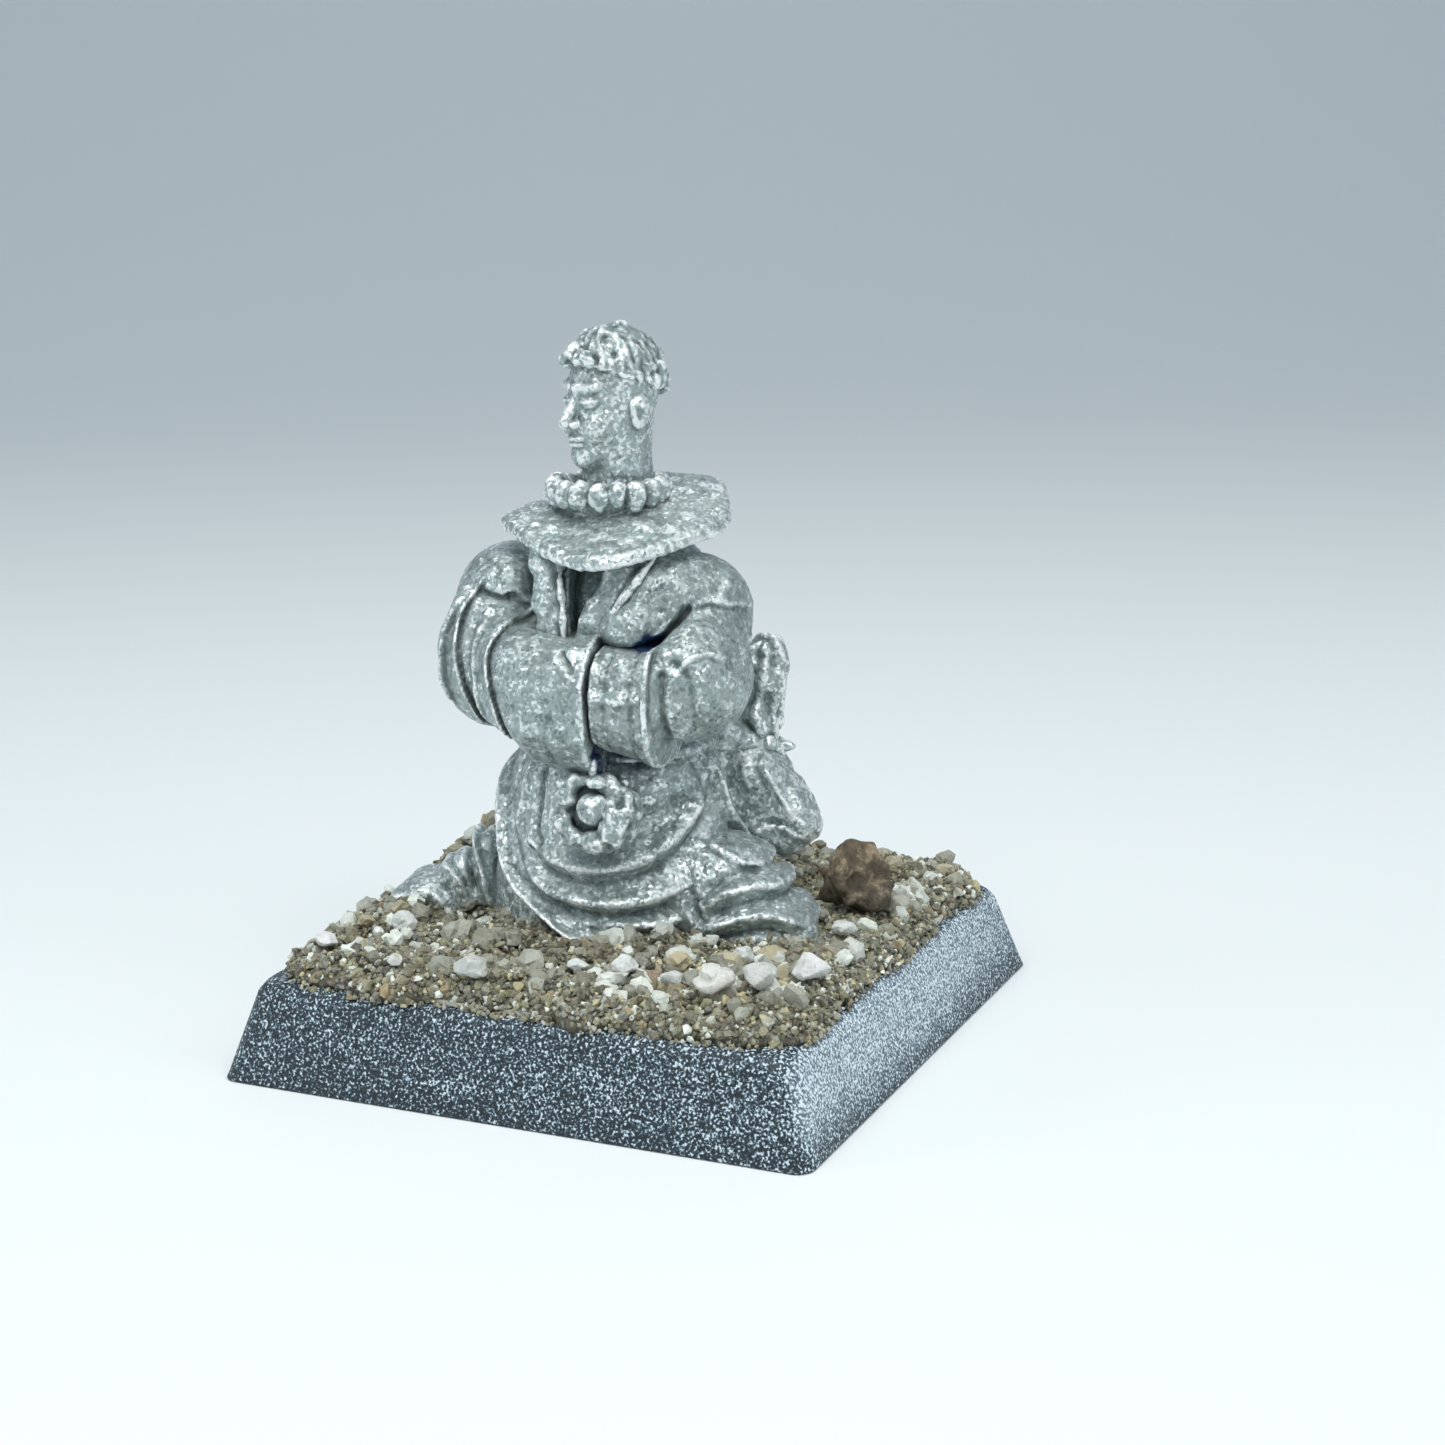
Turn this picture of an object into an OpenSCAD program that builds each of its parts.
// Cast-metal robed figure on a 20 mm slotted square base, dressed with sand, pebbles and a rock.
// Millimetres, +Z up. The origin is the middle of the base's underside. The figure faces -Y.
// "Left" and "right" in names are the figure's own.

/* [Base] */
// Side of the square base, measured at the table
base_side = 20; // [18:0.5:25]
// Height of the base moulding
base_h = 3.1; // [2.8:0.1:4]
// How far the sloping sides lean in from bottom to top
base_lean = 0.85; // [0.3:0.05:1.2]
// Wall and top plate thickness of the base moulding
base_wall = 1.1; // [0.8:0.1:1.4]
// Length of the slot across the top of the base
slot_len = 13; // [8:0.5:14]
// Width of the slot
slot_w = 1.9; // [1.4:0.1:2.4]

/* [Scatter] */
// Thickness of the white glue under the sand
film_t = 0.15; // [0.1:0.05:0.3]
// Thickness of the sand above the glue
sand_t = 0.8; // [0.4:0.1:1.2]
// Number of pale pebbles pressed into the sand
pebble_count = 14; // [4:1:18]
// Largest width of the brown rock
rock_size = 2.3; // [1:0.1:3]

/* [Figure] */
// Height of the crown of the hair above the table
figure_top = 22.9; // [22:0.1:24]
// Sideways place of the figure on the base
figure_x = -0.7; // [-1:0.1:1]
// How far the figure is turned towards its own left, in degrees
figure_turn = 7; // [-20:1:20]
// How far the head is turned towards the figure's right, in degrees
head_turn = 37; // [0:1:50]
// Widest radius of the skirt
skirt_r = 4.2; // [3.8:0.1:4.5]
// Radius of the flat mantle
mantle_r = 3.65; // [3:0.05:4]
// Number of beads in the collar
bead_count = 18; // [12:1:20]
// Radius of the pegs that join the castings
peg_r = 0.55; // [0.4:0.05:0.7]

/* [Hidden] */

$fn = 48;
hull_fn = 24;
eps = 0.02;             // clearance between castings that touch
peg_fit = 0.04;         // radial clearance of a peg in its socket
film_z = base_h + film_t;
sand_z = film_z + sand_t;
plate_half = base_side / 2 - base_lean;
plate_under = base_h - base_wall;

tab_gap = 0.2;          // adhesive all round the tab
tab_len = slot_len - 2 * tab_gap;
tab_w = slot_w - 2 * tab_gap;
tab_low = 0.9;          // the tab stops short of the table

core_r = 2.6;           // the robe body inside the skirt
chest_half = 2.3;       // flats where the sleeves are fixed
chest_front = 1.9;
waist_z = 9.6;
shoulder_z = 15.2;
neck_r = 1.3;
neck_z = 17.4;
shoulder_peg_z = 13.9;
pouch_peg_z = 7;

// Each pebble: place across the base, place front to back, width
pebbles = [
    [-7.4, -7.4, 1.0], [-5.6, -5.6, 1.0], [-4.3, -8.4, 0.8], [-1.7, -8.3, 1.3],
    [1.2, -6.9, 0.7], [2.6, -6.7, 0.9], [4.3, -6.6, 0.9], [6.0, -7.4, 1.4],
    [7.1, -6.4, 1.3], [5.4, -4.1, 1.0], [8.0, -5.0, 1.4], [7.5, -0.9, 0.9],
    [6.2, 4.6, 1.0], [-6.8, 5.6, 0.9], [1.9, 7.4, 1.0], [-2.6, 6.9, 0.8],
    [8.0, 7.2, 0.9], [-8.0, 2.1, 0.8]];
rock_at = [6.7, 1.75];

module on_figure() {
    translate([figure_x, 0, 0]) rotate([0, 0, figure_turn]) children();
}

// A chain of balls, each joined to the next by a straight skin: [[x, y, z, radius], ...]
module chain(balls) {
    for (i = [0:len(balls) - 2])
        hull()
            for (b = [balls[i], balls[i + 1]])
                translate([b[0], b[1], b[2]]) sphere(b[3], $fn = hull_fn);
}

// The side view of a block with leaning sides and a softened top edge
module block_outline(low_half, high_half, h, soft) {
    lean = (low_half - high_half) / h;
    arc = [for (a = [0:30:90])
        [high_half - soft + soft * cos(a), h - soft + soft * sin(a)]];
    polygon(concat(
        [[-low_half, 0], [low_half, 0], [high_half + lean * soft, h - soft]],
        arc,
        [for (i = [len(arc) - 1:-1:0]) [-arc[i][0], arc[i][1]]],
        [[-high_half - lean * soft, h - soft]]));
}

// A square block whose four sides all follow the same outline
module leaning_block(low_half, high_half, h, soft) {
    intersection() {
        rotate([90, 0, 0])
            linear_extrude(2 * low_half, center = true) block_outline(low_half, high_half, h, soft);
        rotate([90, 0, 90])
            linear_extrude(2 * low_half, center = true) block_outline(low_half, high_half, h, soft);
    }
}

// ---- base and scatter ----

module base() {
    color([0.10, 0.12, 0.15])
    difference() {
        leaning_block(base_side / 2, plate_half, base_h, 0.3);
        translate([0, 0, -eps])
            leaning_block(base_side / 2 - base_wall, plate_half - base_wall, plate_under + eps, 0.2);
        cube([slot_len, slot_w, 3 * base_h], center = true);
    }
}

module slot_adhesive() {
    color([0.85, 0.87, 0.85])
    difference() {
        translate([0, 0, base_h - base_wall / 2])
            cube([slot_len - eps, slot_w - eps, base_wall - eps], center = true);
        cube([tab_len + eps, tab_w + eps, 3 * base_h], center = true);
    }
}

// The ground that the figure stands on, kept clear of glue and sand
module figure_footprint(gap) {
    on_figure() {
        circle(skirt_r + gap);
        offset(delta = gap) hem_plan(-1, hem_right);
        offset(delta = gap) hem_plan(1, hem_left);
    }
}

// The wavy rim of brushed-on glue and of the sand that sticks to it
function wavy_rim(half, wave) = [for (a = [0:6:354])
    let (side = half / max(abs(cos(a)), abs(sin(a))) * min(1, 1.03 - 0.06 * pow(abs(sin(2 * a)), 8)),
         r = side + wave * (sin(7 * a) + sin(17 * a + 40)) / 2)
    [r * cos(a), r * sin(a)]];

module glue_film() {
    color([0.93, 0.93, 0.90])
    translate([0, 0, base_h + eps])
    linear_extrude(film_t - eps)
    difference() {
        polygon(wavy_rim(plate_half - 0.35, 0.12));
        figure_footprint(0.05);
    }
}

module sand_bed() {
    color([0.62, 0.54, 0.42])
    translate([0, 0, film_z + eps])
    linear_extrude(sand_t - eps)
    difference() {
        polygon(wavy_rim(plate_half - 0.15, 0.15));
        figure_footprint(0.05);
    }
}

// A broken stone with a flat bed: two turned blocks joined by flat faces
module stone(width, seed) {
    turns = rands(0, 90, 6, seed);
    intersection() {
        hull() {
            rotate([turns[0], turns[1], turns[2]])
                cube([width, width * 0.7, width * 0.62], center = true);
            rotate([turns[3], turns[4], turns[5]])
                cube([width * 0.78, width * 0.8, width * 0.6], center = true);
        }
        translate([-width, -width, eps]) cube([2 * width, 2 * width, 2 * width]);
    }
}

module brown_rock() {
    color([0.42, 0.25, 0.17])
    translate([rock_at[0], rock_at[1], sand_z])
    scale([1, 1, 1.5]) stone(rock_size, 5);
}

module pebble(i) {
    color([0.86, 0.88, 0.85])
    translate([pebbles[i][0], pebbles[i][1], sand_z]) stone(pebbles[i][2], 20 + i);
}

// ---- figure ----

// The upright solid of the robe: a round core with flats for the sleeves and the forearms
module robe_core(grow) {
    intersection() {
        rotate_extrude()
            polygon([[0, base_h + eps], [core_r + grow, base_h + eps], [core_r + grow, shoulder_z - 0.6],
                [core_r - 0.3 + grow, shoulder_z], [neck_r + grow, 16.3], [neck_r + grow, neck_z],
                [0, neck_z]]);
        union() {
            translate([-5, -5, 0]) cube([10, 10, waist_z + 0.1]);
            translate([-chest_half - grow, -chest_front - grow, 0])
                cube([2 * (chest_half + grow), 5, neck_z + 1]);
        }
    }
}

module robe_body() {
    color([0.62, 0.65, 0.65])
    difference() {
        union() {
            on_figure() robe_core(0);
            translate([-tab_len / 2, -tab_w / 2, tab_low]) cube([tab_len, tab_w, base_h - tab_low]);
            cylinder(h = base_h + 0.5, r = tab_w / 2);
        }
        on_figure() {
            // sockets for the head's peg and for a peg on each sleeve
            translate([0, 0, neck_z - 1.5]) cylinder(h = 2, r = peg_r + peg_fit);
            translate([0, 0, shoulder_peg_z]) rotate([0, 90, 0])
                for (side = [-1, 1])
                    translate([0, 0, side * chest_half])
                        cylinder(h = 2, r = peg_r + peg_fit, center = true);
        }
    }
}

module sash() {
    color([0.55, 0.58, 0.60])
    on_figure()
    translate([0, 0, waist_z - 0.5])
    rotate_extrude()
        translate([core_r + eps, 0]) hull() {
            square([0.3, 0.5]);
            translate([0.3, 0.25]) circle(0.22);
        }
}

// Half section of the bell-shaped skirt, from its inner hem round to its inner waist
skirt_profile = [[core_r + eps, base_h + eps], [skirt_r - 0.1, base_h + eps], [skirt_r, 4.2],
    [skirt_r - 0.05, 5.2], [skirt_r - 0.25, 6.4], [skirt_r - 0.5, 7.6], [skirt_r - 0.8, 8.7],
    [core_r + 0.6, waist_z - 0.52], [core_r + eps, waist_z - 0.52]];

module skirt() {
    color([0.66, 0.69, 0.69])
    on_figure()
    difference() {
        rotate_extrude() polygon(skirt_profile);
        // socket for the pendant's stem
        at_pendant() rotate([-90, 0, 0]) cylinder(h = 1.2, r = stem_r + peg_fit);
        // socket for the pouch's peg
        rotate([0, 0, pouch_side]) translate([0, 0, pouch_peg_z]) rotate([0, 90, 0])
            cylinder(h = 8, r = peg_r + peg_fit);
    }
}

// The robe's hem trails out to each side. Plan: reach, front edge, back edge, width at the tip
hem_right = [7.8, -3.2, 1.6, 2.4];
hem_left = [7.0, -3.4, 1.4, 2.4];

module hem_plan(side, hem) {
    tip = (hem[1] + hem[2]) / 2 - 0.5;
    polygon([[side * 2, hem[1]], [side * (hem[0] - 0.6), tip - hem[3] / 2], [side * hem[0], tip - 0.3],
        [side * (hem[0] - 0.3), tip + hem[3] / 2], [side * 2, hem[2]]]);
}

// Side view of a trailing hem: high at the skirt, low at the tip
module hem_outline(side, hem, high) {
    polygon([[side * 2, base_h + eps], [side * hem[0], base_h + eps], [side * hem[0], 4.3],
        [side * (hem[0] - 1.4), 5.0], [side * (skirt_r + 0.3), high], [side * 2, high + 0.6]]);
}

module hem(side, outline, high) {
    difference() {
        intersection() {
            linear_extrude(10) hem_plan(side, outline);
            rotate([90, 0, 0]) linear_extrude(10, center = true) hem_outline(side, outline, high);
        }
        rotate_extrude() polygon(concat([[0, 0]], [for (p = skirt_profile) [p[0] + 0.04, p[1]]],
            [[0, waist_z]]));
        translate([0, 0, base_h]) cylinder(h = 0.2, r = skirt_r + 0.04, center = true);
    }
}

module right_hem() {
    color([0.58, 0.61, 0.62]) on_figure() hem(-1, hem_right, 6.0);
}

module left_hem() {
    color([0.58, 0.61, 0.62]) on_figure() hem(1, hem_left, 6.4);
}

// Sleeves: a chain of balls from the shoulder, round the elbow, to the cuff
right_arm = [[-2.7, 0.2, 14.0, 1.45], [-3.5, -1.5, 12.6, 1.85], [-2.2, -2.9, 11.8, 2.0], [0.6, -3.1, 11.5, 1.95]];
left_arm = [[2.6, 0.4, 14.0, 1.45], [3.2, -0.9, 12.4, 1.75], [3.1, -2.2, 11.7, 1.9], [2.2, -2.5, 11.6, 1.85]];
cuff_line_right = 0.5;
cuff_line_left = 2.15;

// The space of the body and of the lapels, which the sleeves close against
module chest_space() {
    robe_core(eps);
    translate([-chest_half - eps, -chest_front - lapel_t - 2 * eps, lapel_low - eps])
        cube([2 * chest_half + 2 * eps, 2, 4]);
}

module sleeve(arm, side) {
    difference() {
        chain(arm);
        chest_space();
        children();
    }
    translate([side * (chest_half + 0.8), 0, shoulder_peg_z]) rotate([0, -side * 90, 0])
        cylinder(h = 1.6, r = peg_r);
}

module right_sleeve() {
    color([0.64, 0.67, 0.68])
    on_figure()
    sleeve(right_arm, -1)
        translate([cuff_line_right, -10, 0]) cube([10, 20, 20]);
}

module left_sleeve() {
    color([0.64, 0.67, 0.68])
    on_figure()
    sleeve(left_arm, 1)
        translate([cuff_line_left - 10, -10, 0]) cube([10, 20, 20]);
}

// The inner cuffs that meet between the two sleeve mouths
module joined_cuff() {
    color([0.60, 0.62, 0.62])
    on_figure()
    difference() {
        translate([cuff_line_right + eps, -2.7, 11.5]) rotate([0, 90, 0])
            cylinder(h = cuff_line_left - cuff_line_right - 2 * eps, r = 1.7);
        chest_space();
    }
}

lapel_t = 0.4;
lapel_low = 13.3;

// A lapel lies on the flat of the chest and widens downwards from the shoulder
module lapel(side, low_x) {
    translate([0, -chest_front - eps, 0])
    rotate([90, 0, 0])
    linear_extrude(lapel_t)
        polygon([[side * 0.95, 15.5], [side * 1.75, 15.5], [side * 1.95, 14.6],
            [low_x + side * 1.1, lapel_low], [low_x, lapel_low]]);
}

module right_lapel() {
    color([0.66, 0.68, 0.68]) on_figure() lapel(-1, -0.15);
}

module left_lapel() {
    color([0.66, 0.68, 0.68]) on_figure() lapel(1, 0.15);
}

// A shallow cone of sheet that slopes down over the shoulders
module mantle() {
    color([0.60, 0.63, 0.63])
    on_figure()
    rotate_extrude()
        polygon([[neck_r + eps, 16.75], [mantle_r - 0.2, 15.95], [mantle_r, 16.05],
            [mantle_r, 16.4], [mantle_r - 0.15, 16.5], [neck_r + eps, 17.25]]);
}

bead_r = 0.33;
bead_ring_r = 1.72;
bead_z = 17.47;

module bead_collar() {
    color([0.64, 0.66, 0.66])
    on_figure()
    translate([0, 0, bead_z]) {
        rotate_extrude() translate([bead_ring_r, 0]) circle(0.16);
        for (i = [0:bead_count - 1])
            rotate([0, 0, i * 360 / bead_count]) translate([bead_ring_r, 0, 0]) sphere(bead_r);
    }
}

head_foot = neck_z + eps;

module head() {
    color([0.70, 0.72, 0.72])
    on_figure()
    rotate([0, 0, -head_turn]) {
        // neck, jaw and skull turned about one axis
        rotate_extrude()
            polygon([[0, head_foot], [1.0, head_foot], [1.0, 18.1], [1.3, 18.7], [1.42, 19.6],
                [1.45, 20.4], [1.35, 21.3], [1.0, 22.0], [0, 22.3]]);
        // nose
        hull() {
            translate([0, -1.62, 19.75]) sphere(0.2, $fn = hull_fn);
            translate([0, -1.3, 20.5]) sphere(0.16, $fn = hull_fn);
            translate([0, -1.2, 19.8]) sphere(0.3, $fn = hull_fn);
        }
        translate([0, 0, neck_z - 1.3]) cylinder(h = 1.4, r = peg_r);
    }
}

// Bowl-cut hair: a thick cap that fits over the skull
module hair() {
    color([0.52, 0.54, 0.55])
    on_figure()
    rotate([0, 0, -head_turn])
    rotate_extrude()
        polygon([[1.39, 20.95], [1.85, 20.75], [1.9, 21.2], [1.7, 21.9], [1.3, 22.5], [0.7, figure_top - 0.08],
            [0, figure_top], [0, 22.32], [1.03, 22.02], [1.38, 21.32]]);
}

// The pendant hangs on the front of the skirt from a loop under the sash
pendant_at = [0.65, -4.15, 8.15];
pendant_lean = 14;      // it leans back against the slope of the skirt
ring_r = 1.0;
ring_wire = 0.26;
ball_r = 0.5;
stem_r = 0.22;
loop_r = 0.45;
loop_wire = 0.15;

module at_pendant() {
    translate(pendant_at) rotate([-pendant_lean, 0, 0]) children();
}

module pendant_ring() {
    color([0.62, 0.64, 0.64])
    on_figure()
    at_pendant() rotate([90, 0, 0])
        rotate_extrude() translate([ring_r, 0]) circle(ring_wire);
}

module pendant_ball() {
    color([0.70, 0.72, 0.72])
    on_figure()
    at_pendant() {
        sphere(ball_r);
        rotate([-90, 0, 0]) cylinder(h = 1.1, r = stem_r);
    }
}

// The hanging loop is a small upright ring that passes through the pendant ring
module pendant_loop() {
    color([0.60, 0.62, 0.62])
    on_figure()
    at_pendant() translate([0, 0, ring_r + 0.25]) rotate([0, 90, 0])
        rotate_extrude() translate([loop_r, 0]) circle(loop_wire);
}

// The pouch hangs at the figure's left hip, behind the sleeve
pouch_side = 26;
pouch_r = 1.45;
pouch_out = 5.1;       // from the figure's axis to the pouch's

module at_pouch() {
    on_figure() rotate([0, 0, pouch_side]) children();
}

module pouch() {
    color([0.58, 0.60, 0.60])
    at_pouch() {
        difference() {
            translate([pouch_out, 0, 0])
            rotate_extrude()
                polygon([[0, 5.0], [0.8, 5.05], [1.3, 5.6], [pouch_r, 6.5], [1.3, 7.6], [0.85, 8.6],
                    [0.5, 8.98], [0, 8.98]]);
            rotate_extrude() polygon(concat([[0, 0]], [for (p = skirt_profile) [p[0] + 0.04, p[1]]],
                [[0, waist_z]]));
        }
        translate([skirt_r - 1.3, 0, pouch_peg_z]) rotate([0, 90, 0]) cylinder(h = 1.8, r = peg_r);
    }
}

module pouch_tie() {
    color([0.62, 0.64, 0.64])
    at_pouch() translate([pouch_out, 0, 9.2])
        rotate_extrude() translate([0.55, 0]) circle(0.18);
}

module pouch_neck() {
    color([0.60, 0.62, 0.62])
    at_pouch() translate([pouch_out - 0.1, 0, 0])
        rotate_extrude()
            polygon([[0, 9.0], [0.25, 9.0], [0.25, 9.5], [0.7, 10.1], [0.95, 10.9], [0.9, 11.8], [0.45, 12.3],
                [0, 12.35]]);
}

module pouch_toggle() {
    color([0.66, 0.68, 0.68])
    at_pouch() translate([pouch_out + 1.05, 0, 9.2]) {
        sphere(0.3);
    }
}

base();
slot_adhesive();
glue_film();
sand_bed();
brown_rock();
for (i = [0:pebble_count - 1])
    pebble(i);
robe_body();
sash();
skirt();
right_hem();
left_hem();
right_sleeve();
left_sleeve();
joined_cuff();
right_lapel();
left_lapel();
mantle();
bead_collar();
head();
hair();
pendant_loop();
pendant_ring();
pendant_ball();
pouch();
pouch_tie();
pouch_neck();
pouch_toggle();
